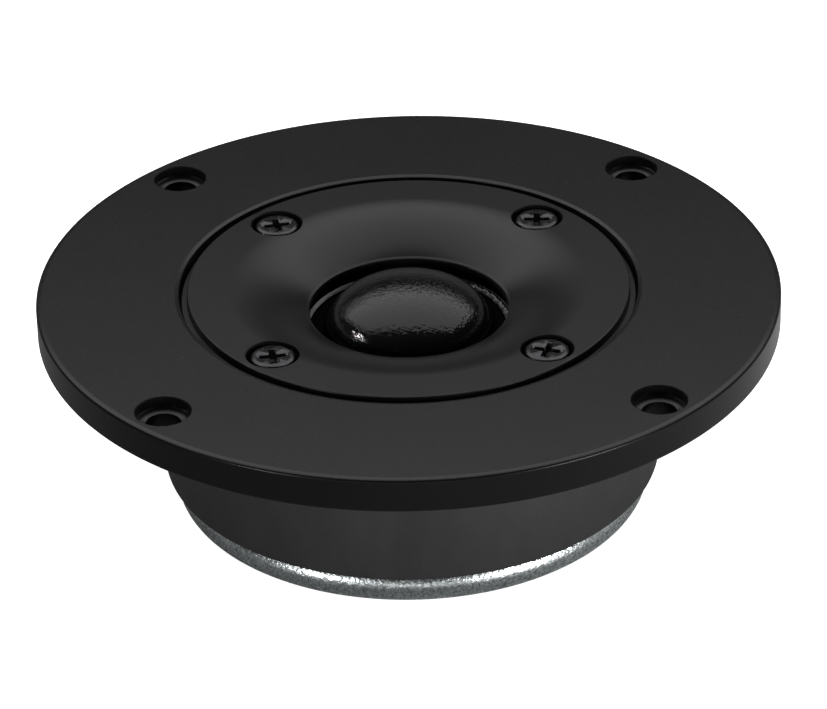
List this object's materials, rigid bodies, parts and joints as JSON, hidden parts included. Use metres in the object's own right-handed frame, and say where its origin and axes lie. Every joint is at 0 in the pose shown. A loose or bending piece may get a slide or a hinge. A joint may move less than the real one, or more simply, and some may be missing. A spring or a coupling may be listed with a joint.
{
  "type": "dome tweeter",
  "caption": "Round flange-mounted tweeter: shallow horn round a coated fabric dome, on a ring-magnet motor with push-on terminals at the back.",
  "frame": {"origin": "centre of the back plate's rear face, the lowest point when the tweeter stands on its motor", "axes": "+Z along the dome's axis towards the listener; +Y towards the terminal tabs, which are at the back in the picture's view; +X to the right"},
  "size_m": [0.104, 0.104, 0.0316],
  "materials": {
    "black_plastic": "satin",
    "black_steel": "satin",
    "coated_fabric": "satin",
    "zinc_plate": "satin",
    "bare_steel": "satin",
    "ferrite": "matte",
    "copper": "satin",
    "former_foil": "satin",
    "felt": "matte",
    "foam": "matte",
    "tinned_brass": "satin"
  },
  "bodies": {
    "motor_frame": {"mounting_flange": "black_plastic", "waveguide_plate": "black_plastic", "plate_screw_1": "black_steel", "plate_screw_2": "black_steel", "plate_screw_3": "black_steel", "plate_screw_4": "black_steel", "back_plate": "zinc_plate", "magnet_ring": "ferrite", "top_plate": "bare_steel", "pole_piece": "bare_steel", "copper_sleeve": "copper", "damping_felt": "felt", "diaphragm_ring": "black_plastic", "clamp_gasket": "foam", "locating_pin_left": "bare_steel", "locating_pin_right": "bare_steel", "surround": "coated_fabric", "lead_wire_left": "copper", "lead_wire_right": "copper", "terminal_block": "black_plastic", "terminal_tab_wide": "tinned_brass", "terminal_tab_narrow": "tinned_brass", "terminal_rivet_wide": "tinned_brass", "terminal_rivet_narrow": "tinned_brass"},
    "diaphragm": {"dome_diaphragm": "coated_fabric", "voice_coil_former": "former_foil", "voice_coil_winding": "copper"}
  },
  "joints": [
    {"name": "dome_travel", "type": "slide", "parent": "motor_frame", "child": "diaphragm", "axis": [0, 0, 1], "range_m": [-0.0005, 0.0005], "stiffness_N_per_m": 1500, "deforming": ["surround", "lead_wire_left", "lead_wire_right"]}
  ]
}
